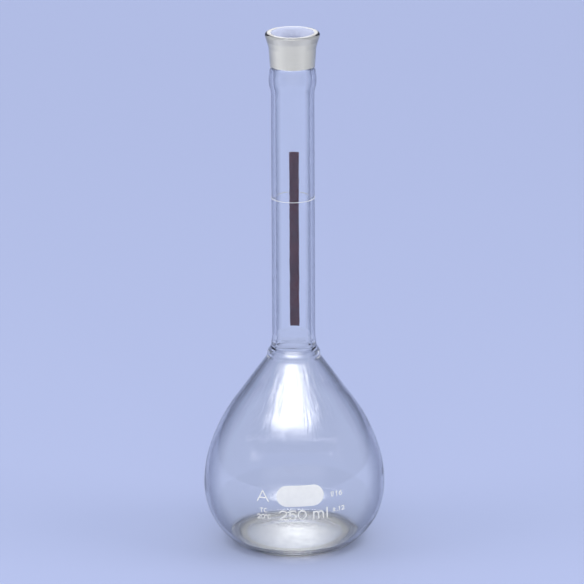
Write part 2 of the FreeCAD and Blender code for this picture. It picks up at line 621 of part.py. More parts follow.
big, small = val("stroke_large"), val("stroke_small")
capacity = lettering("capacity_mark", [
    ("2", -6.85, 22.25, 3.3, 4.0, big),
    ("5", -2.62, 22.25, 3.1, 4.0, big),
    ("0", 1.41, 22.25, 3.4, 4.0, big),
    ("m", 8.05, 22.1, 4.1, 3.3, big),
    ("l", 13.85, 22.1, 1.0, 4.5, big),
])
grade = lettering("class_mark", [("A", -16.0, 30.45, 4.7, 4.55, 0.5)])
temperature = lettering("temperature_mark", [
    ("T", -14.95, 25.5, 1.15, 1.75, small),
    ("C", -13.3, 25.5, 1.2, 1.75, small),
    ("2", -16.2, 22.55, 1.25, 1.85, small),
    ("0", -14.5, 22.55, 1.3, 1.85, small),
    ("deg", -12.75, 23.75, 0.65, 0.65, small * 0.8),
    ("C", -11.75, 22.55, 1.25, 1.85, small),
])
tolerance = lettering("tolerance_mark", [
    ("pm", 16.35, 24.4, 1.05, 1.55, small),
    ("dot", 18.2, 24.24, small, 0.3, small),
    ("1", 18.75, 24.4, 0.95, 1.75, small),
    ("2", 20.1, 24.4, 1.15, 1.75, small),
])
size_mark = lettering("socket_size_mark", [
    ("taper", 15.75, 31.2, 1.05, 1.9, small * 0.8),
    ("1", 17.6, 31.2, 1.0, 1.9, small),
    ("6", 19.2, 31.2, 1.25, 1.9, small),
])

doc.recompute()

# ---------------------------------------------------------------------------------------------------------------
# Checks, then the files
# ---------------------------------------------------------------------------------------------------------------
PIECES = [bulb, neck, socket, ring, stripe, patch, capacity, grade, temperature, tolerance, size_mark]
for item in doc.Objects:
    if "Invalid" in item.State or "Error" in item.State:
        raise RuntimeError("failed: %s %s" % (item.Name, item.State))
for item in doc.Objects:
    if item.TypeId == "Sketcher::SketchObject" and not item.FullyConstrained:
        raise RuntimeError("sketch not fully constrained: " + item.Name)
for piece in PIECES:
    shape = piece.Shape
    if shape.isNull() or not shape.isValid() or not shape.Solids or shape.Volume <= 0:
        raise RuntimeError("bad shape: " + piece.Label)

# contents of the flask up to the calibration ring
geometry = bulb_sketch.Geometry
inner = [g_floor, g_corner, g_in_low, g_in_up, g_in_crown, g_in_cone, g_in_shoulder]
edges = [geometry[i].toShape() for i in inner]
z_line = val("ring_height")
edges += [Part.makeLine(Vector(rb, zs, 0), Vector(rb, z_line, 0)), Part.makeLine(Vector(rb, z_line, 0), Vector(0, z_line, 0)),
          Part.makeLine(Vector(0, z_line, 0), Vector(0, floor_h, 0))]
contents = Part.Face(Part.Wire(Part.__sortEdges__(edges))).revolve(Vector(0, 0, 0), Vector(0, 1, 0), 360)
millilitres = abs(contents.Volume) / 1000
print("contents to the ring: %.2f ml" % millilitres)
if abs(millilitres - 250) > 0.5:
    raise RuntimeError("the flask doesn't hold its stated volume")

os.makedirs("parts", exist_ok=True)
for piece in PIECES:
    piece.Shape.exportStep("parts/%s.step" % piece.Label)
    print("%-18s solids %2d  volume %9.3f mm3  z %.2f to %.2f" % (
        piece.Label, len(piece.Shape.Solids), piece.Shape.Volume, piece.Shape.BoundBox.ZMin, piece.Shape.BoundBox.ZMax))
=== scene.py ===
import math
import bmesh
import bpy
import numpy as np
from mathutils import Matrix, Vector
from mathutils.geometry import tessellate_polygon


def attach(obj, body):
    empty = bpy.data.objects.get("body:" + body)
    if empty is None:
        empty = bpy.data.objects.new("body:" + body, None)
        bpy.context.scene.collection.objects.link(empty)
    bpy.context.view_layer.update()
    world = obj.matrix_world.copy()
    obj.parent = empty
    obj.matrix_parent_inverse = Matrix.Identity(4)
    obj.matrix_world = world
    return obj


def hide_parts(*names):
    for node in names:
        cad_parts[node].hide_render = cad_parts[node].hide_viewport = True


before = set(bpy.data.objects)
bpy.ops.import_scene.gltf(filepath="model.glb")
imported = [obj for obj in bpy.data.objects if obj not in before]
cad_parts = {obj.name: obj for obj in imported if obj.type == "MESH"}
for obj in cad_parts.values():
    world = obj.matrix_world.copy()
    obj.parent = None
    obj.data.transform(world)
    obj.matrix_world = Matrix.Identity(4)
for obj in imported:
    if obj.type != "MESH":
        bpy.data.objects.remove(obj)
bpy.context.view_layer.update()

scene = bpy.context.scene
MM = 0.001

# ---------------------------------------------------------------------------------------------------------------
# Dimensions in millimetres
# ---------------------------------------------------------------------------------------------------------------
RM, ZQ, RH, RL, RU, Z1, RK = 39.4, 26.3, 4.0, 30.8, 55.0, 44.57, 78.8
A2 = math.radians(36.3)
ZS, RN, WALL, THIN = 95.0, 9.35, 1.85, 1.47
PUNT_R, PUNT_H = 20.9, 1.5
FLOOR_H, FLOOR_ARC, RF = 5.0, 600.0, 3.0
ZK = 200.8
Z_STUB, Z_APEX, R_APEX = 201.2, 207.8, 10.3
Z_WAIST, R_WAIST = 213.2, 9.62
Z_FLARE, R_FLARE = 222.5, 10.28
R_LIP, Z_RIM, R_OUT, R_IN, R_MOUTH = 11.85, 228.8, 10.75, 9.35, 8.62
Z_GT, R_GT, Z_GL, R_GL = 225.2, 8.0, 213.95, 7.4375
R_RELIEF, R_BORE = 7.7, 8.45
RB = RN - WALL
ENAMEL, SUNK = 0.1, 0.03
TILT = math.radians(1.6)
PIVOT = (2.42, 32.75)

# ---------------------------------------------------------------------------------------------------------------
# Profile of the glass: the same chain of arcs as the solid model, as polylines of (radius, height)
# ---------------------------------------------------------------------------------------------------------------
C_LOW = (RM - RL, ZQ)
R_CONTACT = C_LOW[0] + math.sqrt((RL - RH) ** 2 - (ZQ - RH) ** 2)
C_HEEL = (R_CONTACT, RH)
A_HEEL = math.atan2(C_HEEL[1] - C_LOW[1], C_HEEL[0] - C_LOW[0])
C_UP = (RM - RU, ZQ)
A1 = math.asin((Z1 - ZQ) / RU)
E1 = (C_UP[0] + RU * math.cos(A1), C_UP[1] + RU * math.sin(A1))
C_CROWN = (E1[0] - RK * math.cos(A1), E1[1] - RK * math.sin(A1))
E2 = (C_CROWN[0] + RK * math.cos(A2), C_CROWN[1] + RK * math.sin(A2))
R_SH = ((RN - E2[0]) * math.cos(A2) + (ZS - E2[1]) * math.sin(A2)) / (1 - math.cos(A2))
C_SH = (RN + R_SH, ZS)
E3 = (C_SH[0] - R_SH * math.cos(A2), C_SH[1] - R_SH * math.sin(A2))
PUNT_ARC = (PUNT_R ** 2 + PUNT_H ** 2) / (2 * PUNT_H)
C_PUNT = (0.0, PUNT_H - PUNT_ARC)
C_FLOOR = (0.0, FLOOR_H - FLOOR_ARC)
_da, _db = RL - THIN - RF, FLOOR_ARC + RF
_span = math.hypot(C_LOW[0] - C_FLOOR[0], C_LOW[1] - C_FLOOR[1])
_along = (_db ** 2 - _da ** 2 + _span ** 2) / (2 * _span)
_across = math.sqrt(_db ** 2 - _along ** 2)
_ux, _uy = (C_LOW[0] - C_FLOOR[0]) / _span, (C_LOW[1] - C_FLOOR[1]) / _span
C_CORNER = (C_FLOOR[0] + _along * _ux + _across * _uy, C_FLOOR[1] + _along * _uy - _across * _ux)
A_CORNER = math.atan2(C_CORNER[1] - C_LOW[1], C_CORNER[0] - C_LOW[0])
A_FLOOR = math.atan2(C_CORNER[1] - C_FLOOR[1], C_CORNER[0] - C_FLOOR[0])

CLEAR, SEAL, GROUND, LIP, SEAT = 0, 1, 2, 3, 4


class Outline:
    """Closed section of a piece of glass, walked with the glass on the left."""

    def __init__(self):
        self.points, self.kinds, self.sharp = [], [], set()

    def add(self, points, kind=CLEAR):
        for q in points:
            if self.points and math.hypot(q[0] - self.points[-1][0], q[1] - self.points[-1][1]) < 1e-6:
                continue
            if self.points:
                self.kinds.append(kind)
            self.points.append(q)
        return self

    def arc(self, centre, radius, start, end, step=0.9, kind=CLEAR):
        n = max(4, math.ceil(abs(end - start) * radius / step))
        return self.add([(centre[0] + radius * math.cos(start + (end - start) * i / n),
                          centre[1] + radius * math.sin(start + (end - start) * i / n)) for i in range(n + 1)], kind)

    def line(self, a, b, step=1.0, kind=CLEAR):
        n = max(1, math.ceil(math.hypot(b[0] - a[0], b[1] - a[1]) / step))
        return self.add([(a[0] + (b[0] - a[0]) * i / n, a[1] + (b[1] - a[1]) * i / n) for i in range(n + 1)], kind)

    def crease(self):
        self.sharp.add(len(self.points) - 1)
        return self


def bulge(r_from, r_to, height):
    d = r_to - r_from
    return (d * d + height * height) / (2 * d)


def tangent_point(point, centre, radius, side):
    dx, dy = centre[0] - point[0], centre[1] - point[1]
    dist = math.hypot(dx, dy)
    base = math.atan2(-dy, -dx)
    turn = math.acos(radius / dist) * side
    return (centre[0] + radius * math.cos(base + turn), centre[1] + radius * math.sin(base + turn))


def bulb_outline():
    o = Outline()
    a_punt = math.atan2(-C_PUNT[1], PUNT_R)
    o.arc(C_PUNT, PUNT_ARC, math.pi / 2, a_punt, 1.2)
    o.line((PUNT_R, 0), (R_CONTACT, 0), 0.8, SEAT)
    o.arc(C_HEEL, RH, -math.pi / 2, math.radians(-28), 0.3, SEAT)
    o.arc(C_HEEL, RH, math.radians(-28), A_HEEL, 0.3)
    o.arc(C_LOW, RL, A_HEEL, 0, 0.8)
    o.arc(C_UP, RU, 0, A1, 0.9)
    o.arc(C_CROWN, RK, A1, A2, 0.9)
    o.line(E2, E3, 0.35)
    o.arc(C_SH, R_SH, math.pi + A2, math.pi, 0.16).crease()
    o.line((RN, ZS), (RB, ZS), 5, SEAL).crease()
    o.arc(C_SH, R_SH + WALL, math.pi, math.pi + A2, 0.16)
    i3 = o.points[-1]
    i2 = (C_CROWN[0] + (RK - THIN) * math.cos(A2), C_CROWN[1] + (RK - THIN) * math.sin(A2))
    o.line(i3, i2, 0.35)
    o.arc(C_CROWN, RK - THIN, A2, A1, 0.9)
    o.arc(C_UP, RU - THIN, A1, 0, 0.9)
    o.arc(C_LOW, RL - THIN, 0, A_CORNER, 0.8)
    o.arc(C_CORNER, RF, A_CORNER, A_FLOOR - math.pi, 0.25)
    o.arc(C_FLOOR, FLOOR_ARC, A_FLOOR, math.pi / 2, 1.0)
    return o


def neck_outline():
    o = Outline()
    o.add([(RB, ZS)]).crease()
    o.line((RB, ZS), (RN, ZS), 5, SEAL).crease()
    o.line((RN, ZS), (RN, ZK), 1.5).crease()
    o.line((RN, ZK), (RB, ZK), 5, SEAL).crease()
    o.line((RB, ZK), (RB, ZS), 1.5)
    return o


def socket_outline():
    o = Outline()
    o.add([(RB, ZK)]).crease()
    o.line((RB, ZK), (RN, ZK), 5, SEAL).crease()

    def collar(r_low, r_top, r_end, z_end):
        half = bulge(r_low, r_top, Z_APEX - Z_STUB) / 2
        c_a, c_b = (r_low + half, Z_STUB), (r_top - half, Z_APEX)
        angle = math.atan2(c_a[1] - c_b[1], c_a[0] - c_b[0])
        top = bulge(r_end, r_top, z_end - Z_APEX)
        turn = math.asin((z_end - Z_APEX) / top)
        return [(c_a, half, math.pi, math.pi + angle), (c_b, half, angle, 0.0), ((r_top - top, Z_APEX), top, 0.0, turn)]

    o.line((RN, ZK), (RN, Z_STUB), 0.5)
    for centre, radius, start, end in collar(RN, R_APEX, R_WAIST, Z_WAIST):
        o.arc(centre, radius, start, end, 0.35)
    o.line((R_WAIST, Z_WAIST), (R_FLARE, Z_FLARE), 0.6)
    c_lip = (R_OUT, Z_RIM - (R_LIP - R_OUT))
    t_lip = tangent_point((R_FLARE, Z_FLARE), c_lip, R_LIP - R_OUT, 1)
    o.line((R_FLARE, Z_FLARE), t_lip, 0.5)
    o.arc(c_lip, R_LIP - R_OUT, math.atan2(t_lip[1] - c_lip[1], t_lip[0] - c_lip[0]), math.pi / 2, 0.12)
    o.line((R_OUT, Z_RIM), (R_IN, Z_RIM), 0.4)
    c_mouth = (R_IN, Z_RIM - (R_IN - R_MOUTH))
    t_mouth = tangent_point((R_GT, Z_GT), c_mouth, R_IN - R_MOUTH, -1)
    o.arc(c_mouth, R_IN - R_MOUTH, math.pi / 2, math.atan2(t_mouth[1] - c_mouth[1], t_mouth[0] - c_mouth[0]) % (2 * math.pi), 0.12, LIP)
    o.line(t_mouth, (R_GT, Z_GT), 0.5, LIP)
    o.line((R_GT, Z_GT), (R_GL, Z_GL), 0.6, GROUND).crease()
    o.line((R_GL, Z_GL), (R_RELIEF, Z_GL), 1.0).crease()
    for centre, radius, start, end in reversed(collar(RB, R_BORE, R_RELIEF, Z_GL)):
        o.arc(centre, radius, end, start, 0.35)
    o.line((RB, Z_STUB), (RB, ZK), 0.5)
    return o


def lathe(name, outline, segments, closed, wave):
    """Turned mesh of an outline. closed: the outline is a loop, else it starts and ends on the axis. wave(r, z, a, inside) moves the radius."""
    pts, kinds = outline.points, outline.kinds
    n = len(pts)
    if closed:
        if math.hypot(pts[0][0] - pts[-1][0], pts[0][1] - pts[-1][1]) < 1e-6:
            pts, n = pts[:-1], n - 1
    verts, rings = [], []
    inner = max(range(n), key=lambda k: pts[k][1])
    for i, (r, z) in enumerate(pts):
        if r < 1e-6:
            rings.append([len(verts)])
            verts.append((0.0, 0.0, z * MM))
            continue
        ring = []
        for j in range(segments):
            a = 2 * math.pi * j / segments
            rr = r + wave(r, z, a, i >= inner)
            ring.append(len(verts))
            verts.append((rr * math.cos(a) * MM, rr * math.sin(a) * MM, z * MM))
        rings.append(ring)
    faces, mats = [], []
    sharp = set()
    for i in range(n if closed else n - 1):
        lo, hi = rings[i], rings[(i + 1) % n]
        kind = kinds[i]
        for j in range(segments):
            k = (j + 1) % segments
            if len(lo) == 1:
                faces.append((lo[0], hi[k], hi[j]))
            elif len(hi) == 1:
                faces.append((lo[j], lo[k], hi[0]))
            else:
                faces.append((lo[j], lo[k], hi[k], hi[j]))
            mats.append(kind)
    for i in outline.sharp:
        ring = rings[i % n]
        for j in range(len(ring)):
            sharp.add(tuple(sorted((ring[j], ring[(j + 1) % len(ring)]))))
    mesh = bpy.data.meshes.new(name)
    mesh.from_pydata(verts, [], faces)
    mesh.polygons.foreach_set("use_smooth", [True] * len(faces))
    mesh.polygons.foreach_set("material_index", mats)
    for edge in mesh.edges:
        if tuple(sorted(edge.vertices)) in sharp:
            edge.use_edge_sharp = True
    mesh.validate()
    mesh.update()
    obj = bpy.data.objects.new(name, mesh)
    scene.collection.objects.link(obj)
    return obj


# ---------------------------------------------------------------------------------------------------------------
# Node helpers
# ---------------------------------------------------------------------------------------------------------------
def material(name):
    m = bpy.data.materials.new(name)
    m.use_nodes = True
    m.cycles.emission_sampling = "NONE"
    m.node_tree.nodes.clear()
    return m, m.node_tree.nodes, m.node_tree.links


def node(nodes, kind, **values):
    x = nodes.new(kind)
    for key, value in values.items():
        setattr(x, key, value)
    return x


def ramp(nodes, links, source, stops):
    x = nodes.new("ShaderNodeValToRGB")
    while len(x.color_ramp.elements) < len(stops):
        x.color_ramp.elements.new(0.5)
    for e, (pos, col) in zip(x.color_ramp.elements, stops):
        e.position, e.color = pos, col
    links.new(source, x.inputs["Fac"])
    return x


def noise_tex(nodes, links, coord, scale, detail=4.0, rough=0.55):
    x = nodes.new("ShaderNodeTexNoise")
    x.inputs["Scale"].default_value = scale
    x.inputs["Detail"].default_value = detail
    x.inputs["Roughness"].default_value = rough
    links.new(coord, x.inputs["Vector"])
    return x


def grey(v):
    return (v, v, v, 1.0)


def glass_material(name, tint, bump, streaks, edge):
    # clear borosilicate glass: faint roughness cloud and drawn lines; light passes through to the floor.
    # streaks: stops (height in metres, share) for the depth of the drawn lines; edge: where the painted shade of
    # edge-on walls sets in
    m, nodes, links = material(name)
    out = node(nodes, "ShaderNodeOutputMaterial")
    bsdf = node(nodes, "ShaderNodeBsdfPrincipled")
    bsdf.inputs["IOR"].default_value = 1.474
    bsdf.inputs["Transmission Weight"].default_value = 1.0
    # painted shade: a wall seen edge on is a long way through the glass and darkens a little; the much stronger
    # darkening here is painted, to draw dark contour lines
    edge_on = node(nodes, "ShaderNodeLayerWeight")
    edge_on.inputs["Blend"].default_value = 0.5
    edge_shade = ramp(nodes, links, edge_on.outputs["Facing"], [(edge[0], tint), (edge[1], (0.50, 0.52, 0.57, 1)), (edge[2], (0.15, 0.16, 0.20, 1)), (1.0, (0.06, 0.065, 0.085, 1))])
    links.new(edge_shade.outputs["Color"], bsdf.inputs["Base Color"])
    coord = node(nodes, "ShaderNodeTexCoord")
    cloud = noise_tex(nodes, links, coord.outputs["Object"], 60.0, 3.0)
    r = ramp(nodes, links, cloud.outputs["Fac"], [(0.45, grey(0.0)), (0.75, grey(0.02))])
    links.new(r.outputs["Color"], bsdf.inputs["Roughness"])
    # drawn lines: narrow round the glass, long along its height
    flat = node(nodes, "ShaderNodeVectorMath", operation="MULTIPLY")
    flat.inputs[1].default_value = (1.0, 1.0, 0.0)
    links.new(coord.outputs["Object"], flat.inputs[0])
    turn = node(nodes, "ShaderNodeVectorMath", operation="NORMALIZE")
    links.new(flat.outputs["Vector"], turn.inputs[0])
    rise = node(nodes, "ShaderNodeVectorMath", operation="MULTIPLY")
    rise.inputs[1].default_value = (0.0, 0.0, 8.0)
    links.new(coord.outputs["Object"], rise.inputs[0])
    wrap = node(nodes, "ShaderNodeVectorMath", operation="ADD")
    links.new(turn.outputs["Vector"], wrap.inputs[0])
    links.new(rise.outputs["Vector"], wrap.inputs[1])
    ripple = noise_tex(nodes, links, wrap.outputs["Vector"], 10.0, 3.0, 0.65)
    level = node(nodes, "ShaderNodeSeparateXYZ")
    links.new(coord.outputs["Object"], level.inputs[0])
    share = ramp(nodes, links, level.outputs["Z"], [(z, grey(v)) for z, v in streaks])
    facing = node(nodes, "ShaderNodeSeparateXYZ")
    links.new(turn.outputs["Vector"], facing.inputs[0])
    front = node(nodes, "ShaderNodeMapRange", interpolation_type="SMOOTHSTEP")
    front.inputs["From Min"].default_value, front.inputs["From Max"].default_value = -0.62, -0.86
    front.inputs["To Min"].default_value, front.inputs["To Max"].default_value = 0.15, 1.0
    links.new(facing.outputs["Y"], front.inputs["Value"])
    local = node(nodes, "ShaderNodeMath", operation="MULTIPLY")
    links.new(share.outputs["Color"], local.inputs[0])
    links.new(front.outputs["Result"], local.inputs[1])
    depth = node(nodes, "ShaderNodeMath", operation="MULTIPLY")
    links.new(ripple.outputs["Fac"], depth.inputs[0])
    links.new(local.outputs["Value"], depth.inputs[1])
    b = node(nodes, "ShaderNodeBump")
    b.inputs["Strength"].default_value = bump
    b.inputs["Distance"].default_value = 0.001
    links.new(depth.outputs["Value"], b.inputs["Height"])
    links.new(b.outputs["Normal"], bsdf.inputs["Normal"])
    clear = node(nodes, "ShaderNodeBsdfTransparent")
    clear.inputs["Color"].default_value = (0.93, 0.94, 0.94, 1)
    path = node(nodes, "ShaderNodeLightPath")
    mix = node(nodes, "ShaderNodeMixShader")
    links.new(path.outputs["Is Shadow Ray"], mix.inputs["Fac"])
    links.new(bsdf.outputs["BSDF"], mix.inputs[1])
    links.new(clear.outputs["BSDF"], mix.inputs[2])
    links.new(mix.outputs["Shader"], out.inputs["Surface"])
    return m


def seal_material():
    # fused seam inside the glass: nothing to see
    m, nodes, links = material("fused_seam")
    out = node(nodes, "ShaderNodeOutputMaterial")
    clear = node(nodes, "ShaderNodeBsdfTransparent")
    links.new(clear.outputs["BSDF"], out.inputs["Surface"])
    return m


def seat_material():
    # painted light: the foot ring and heel get a white matt share, growing towards the front, standing in for the light
    # that the foot gathers
    m, nodes, links = material("painted_light_seat")
    out = node(nodes, "ShaderNodeOutputMaterial")
    bsdf = node(nodes, "ShaderNodeBsdfPrincipled")
    bsdf.inputs["Base Color"].default_value = (0.97, 0.97, 0.95, 1)
    bsdf.inputs["IOR"].default_value = 1.474
    coord = node(nodes, "ShaderNodeTexCoord")
    place = node(nodes, "ShaderNodeSeparateXYZ")
    links.new(coord.outputs["Object"], place.inputs[0])
    front_light_share = node(nodes, "ShaderNodeMapRange", interpolation_type="SMOOTHSTEP")
    front_light_share.inputs["From Min"].default_value, front_light_share.inputs["From Max"].default_value = -0.004, -0.021
    front_light_share.inputs["To Min"].default_value, front_light_share.inputs["To Max"].default_value = 0.06, 0.34
    links.new(place.outputs["Y"], front_light_share.inputs["Value"])
    fine = noise_tex(nodes, links, coord.outputs["Object"], 2400.0, 3.0, 0.6)
    share = node(nodes, "ShaderNodeMath", operation="MULTIPLY_ADD")
    share.inputs[2].default_value = 0.9
    links.new(fine.outputs["Fac"], share.inputs[0])
    share.inputs[1].default_value = 0.2
    painted_light_share = node(nodes, "ShaderNodeMath", operation="MULTIPLY")
    links.new(front_light_share.outputs["Result"], painted_light_share.inputs[0])
    links.new(share.outputs["Value"], painted_light_share.inputs[1])
    clear = node(nodes, "ShaderNodeMath", operation="SUBTRACT")
    clear.inputs[0].default_value = 1.0
    links.new(painted_light_share.outputs["Value"], clear.inputs[1])
    links.new(clear.outputs["Value"], bsdf.inputs["Transmission Weight"])
    bsdf.inputs["Roughness"].default_value = 0.12
    links.new(bsdf.outputs["BSDF"], out.inputs["Surface"])
    return m


def ground_material(name, clear, matt, dark, light, bore_shade):
    # ground taper: white and finely matt with faint turning lines when seen through the glass; from the open side it
    # takes a greyer, bluish colour, painted shade for the inside of the bore
    m, nodes, links = material(name)
    out = node(nodes, "ShaderNodeOutputMaterial")
    bsdf = node(nodes, "ShaderNodeBsdfPrincipled")
    bsdf.inputs["IOR"].default_value = 1.474
    bsdf.inputs["Transmission Weight"].default_value = clear
    bsdf.inputs["Specular IOR Level"].default_value = 0.15
    coord = node(nodes, "ShaderNodeTexCoord")
    fine = noise_tex(nodes, links, coord.outputs["Object"], 2600.0, 3.0, 0.7)
    turn = node(nodes, "ShaderNodeMapping")
    turn.inputs["Scale"].default_value = (1.0, 1.0, 14.0)
    links.new(coord.outputs["Object"], turn.inputs["Vector"])
    lines = noise_tex(nodes, links, turn.outputs["Vector"], 160.0, 4.0, 0.6)
    c = ramp(nodes, links, lines.outputs["Fac"], [(0.3, dark), (0.7, light)])
    # painted shade: seen from the open side the taper takes the darker, bluish bore colour
    side = node(nodes, "ShaderNodeNewGeometry")
    tint = node(nodes, "ShaderNodeMix", data_type="RGBA")
    links.new(side.outputs["Backfacing"], tint.inputs["Factor"])
    tint.inputs["A"].default_value = bore_shade
    links.new(c.outputs["Color"], tint.inputs["B"])
    links.new(tint.outputs["Result"], bsdf.inputs["Base Color"])
    r = ramp(nodes, links, fine.outputs["Fac"], [(0.3, grey(matt)), (0.7, grey(matt + 0.2))])
    links.new(r.outputs["Color"], bsdf.inputs["Roughness"])
    b = node(nodes, "ShaderNodeBump")
    b.inputs["Strength"].default_value = 0.35
    b.inputs["Distance"].default_value = 0.00006
    links.new(fine.outputs["Fac"], b.inputs["Height"])
    links.new(b.outputs["Normal"], bsdf.inputs["Normal"])
    links.new(bsdf.outputs["BSDF"], out.inputs["Surface"])
    return m


def enamel_material(name, dark, light, scale, shine):
    # fired enamel: slightly uneven colour and a matt, fine-grained face
    m, nodes, links = material(name)
    out = node(nodes, "ShaderNodeOutputMaterial")
    bsdf = node(nodes, "ShaderNodeBsdfPrincipled")
    bsdf.inputs["Specular IOR Level"].default_value = shine
    coord = node(nodes, "ShaderNodeTexCoord")
    cloud = noise_tex(nodes, links, coord.outputs["Object"], scale, 5.0, 0.6)
    c = ramp(nodes, links, cloud.outputs["Fac"], [(0.35, dark), (0.65, light)])
    links.new(c.outputs["Color"], bsdf.inputs["Base Color"])
    fine = noise_tex(nodes, links, coord.outputs["Object"], 5200.0, 3.0, 0.7)
    r = ramp(nodes, links, fine.outputs["Fac"], [(0.3, grey(0.5)), (0.7, grey(0.72))])
    links.new(r.outputs["Color"], bsdf.inputs["Roughness"])
    b = node(nodes, "ShaderNodeBump")
    b.inputs["Strength"].default_value = 0.4
    b.inputs["Distance"].default_value = 0.00003
    links.new(fine.outputs["Fac"], b.inputs["Height"])
    links.new(b.outputs["Normal"], bsdf.inputs["Normal"])
    links.new(bsdf.outputs["BSDF"], out.inputs["Surface"])
    return m


clear_glass = glass_material("clear_glass", (0.985, 0.99, 0.985, 1), 0.02, [(0.0, 0.5), (0.25, 0.5)], (0.28, 0.52, 0.82))
blown_glass = glass_material("blown_glass", (0.972, 0.972, 0.955, 1), 0.36, [(0.0, 0.04), (0.050, 0.05), (0.061, 1.0), (0.082, 0.9), (0.087, 0.1)], (0.42, 0.68, 0.90))
fused_seam = seal_material()
# painted light on the foot ring and heel: a white matt share in place of gathered light
painted_light_seat = seat_material()
# last colour of each: painted shade of the bore, seen from the open side
ground_glass = ground_material("ground_glass", 0.04, 0.55, (0.95, 0.95, 0.96, 1), (1.0, 1.0, 1.0, 1), (0.56, 0.59, 0.74, 1))
lip_glass = ground_material("lip_glass", 0.2, 0.5, (0.93, 0.93, 0.94, 1), (0.98, 0.98, 0.98, 1), (0.60, 0.63, 0.76, 1))
white_enamel = enamel_material("white_enamel", (0.70, 0.695, 0.655, 1), (0.74, 0.735, 0.69, 1), 300.0, 0.4)
stripe_enamel = enamel_material("stripe_enamel", (0.044, 0.006, 0.006, 1), (0.072, 0.009, 0.008, 1), 120.0, 0.12)

# ---------------------------------------------------------------------------------------------------------------
# Glass pieces
# ---------------------------------------------------------------------------------------------------------------
def bell(x, centre, width):
    return math.exp(-((x - centre) / width) ** 2)


# shoulder: outward run per millimetre of drop, from the neck down to the cone
SHOULDER_RUN = [(80.5, 0.735), (83.4, 0.73), (84.1, 0.66), (84.7, 0.10), (86.6, 0.12), (87.1, 0.68), (89.0, 0.68), (89.5, 0.03),
                (90.8, 0.02), (91.4, 0.34), (91.9, 0.02), (92.4, 0.15), (93.0, 0.06), (95.0, 0.0)]
INNER_RUN = [(80.0, 0.735), (83.6, 0.73), (84.2, 0.60), (84.9, 0.12), (85.6, 0.12), (86.0, 0.66), (86.8, 0.66), (87.2, 0.10), (89.2, 0.14), (89.9, 0.36),
             (90.4, 0.36), (91.1, 0.12), (91.5, 0.12), (91.9, 0.22), (92.3, 0.22), (93.0, 0.06), (95.0, 0.0)]


def swell(runs, start, plain):
    """Heights and moves that turn the plain shoulder into one with the given runs; the move dies away down the cone."""
    low = runs[0][0]
    z = np.arange(95.0, low - 0.01, -0.02)
    run = np.interp(z, [q[0] for q in runs], [q[1] for q in runs])
    move = start + np.concatenate([[0], np.cumsum((run[1:] + run[:-1]) * 0.01)]) - np.array([plain(float(v)) for v in z])
    below = np.arange(66.0, low - 0.1, 0.2)
    t = (below - 66.0) / (low - 66.0)
    return np.concatenate([below, z[::-1]]), np.concatenate([move[-1] * t * t * (3 - 2 * t), move[::-1]])


OUT_Z, OUT_R = swell(SHOULDER_RUN, RN, lambda z: C_SH[0] - math.sqrt(R_SH ** 2 - (ZS - z) ** 2))
IN_Z, IN_R = swell(INNER_RUN, RB, lambda z: C_SH[0] - math.sqrt((R_SH + WALL) ** 2 - (ZS - z) ** 2))


def bulb_wave(r, z, a, inside):
    # tooled seal below the neck: soft rings, a little askew; elsewhere the faint unevenness of blown glass
    skew = z - 0.25 * math.sin(a) + 0.12 * math.sin(2 * a + 2.1)
    if inside:
        move = 0.78 * float(np.interp(skew, IN_Z, IN_R)) if z > 60.0 else 0.0
        move += (0.05 * math.sin(0.19 * z + 2.0 * a + 0.4) + 0.04 * math.sin(0.33 * z - 3.0 * a + 1.7)) * min(1.0, max(0.0, (z - 5.0) / 8.0))
        keep = min(1.0, max(0.0, (95.0 - z) / 1.5))
    elif z < 60.0:
        return 0.0
    else:
        move = 0.74 * float(np.interp(skew, OUT_Z, OUT_R))
        knot = z - 0.9 * math.sin(a) - 76.6
        move += 0.03 * bell(knot, 0.0, 1.1) * math.sin(3.1 * knot)
        keep = min(1.0, max(0.0, (95.0 - z) / 1.0))
    return move * keep * min(1.0, r / 5.0)


def still(r, z, a, inside):
    return 0.0


bulb = lathe("bulb_glass", bulb_outline(), 192, False, bulb_wave)
neck = lathe("neck_tube_glass", neck_outline(), 128, True, still)
socket = lathe("stopper_socket_glass", socket_outline(), 128, True, still)
for obj, cad in ((bulb, "bulb"), (neck, "neck_tube"), (socket, "stopper_socket")):
    for m in (blown_glass if obj == bulb else clear_glass, fused_seam, ground_glass, lip_glass, painted_light_seat):
        obj.data.materials.append(m)
    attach(obj, "root")
    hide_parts(cad)

# ---------------------------------------------------------------------------------------------------------------
# Fired enamel: low rounded layers on the glass, sunk into it by a few hundredths
# ---------------------------------------------------------------------------------------------------------------
def on_bulb(x, z, h):
    radius, arc_r = (C_LOW[0] + math.sqrt(RL ** 2 - (z - ZQ) ** 2), RL) if z < ZQ else (C_UP[0] + math.sqrt(RU ** 2 - (z - ZQ) ** 2), RU)
    up = (z - ZQ) / arc_r
    flat = math.sqrt(1 - up * up)
    y = -math.sqrt(radius * radius - x * x)
    return ((x + h * flat * x / radius) * MM, (y + h * flat * y / radius) * MM, (z + h * up) * MM)


def on_neck(a, z, h):
    return ((RN + h) * math.cos(a) * MM, (RN + h) * math.sin(a) * MM, z * MM)


def tilted(x, z):
    dx, dz = x - PIVOT[0], z - PIVOT[1]
    return (PIVOT[0] + dx * math.cos(TILT) - dz * math.sin(TILT), PIVOT[1] + dx * math.sin(TILT) + dz * math.cos(TILT))


def piece(name, cad, verts, faces, mat):
    mesh = bpy.data.meshes.new(name)
    mesh.from_pydata(verts, [], faces)
    b = bmesh.new()
    b.from_mesh(mesh)
    bmesh.ops.remove_doubles(b, verts=b.verts, dist=1e-9)
    bmesh.ops.recalc_face_normals(b, faces=b.faces)
    b.to_mesh(mesh)
    b.free()
    mesh.polygons.foreach_set("use_smooth", [True] * len(mesh.polygons))
    mesh.materials.append(mat)
    mesh.update()
    obj = bpy.data.objects.new(name, mesh)
    scene.collection.objects.link(obj)
    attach(obj, "root")
    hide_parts(cad)
    return obj


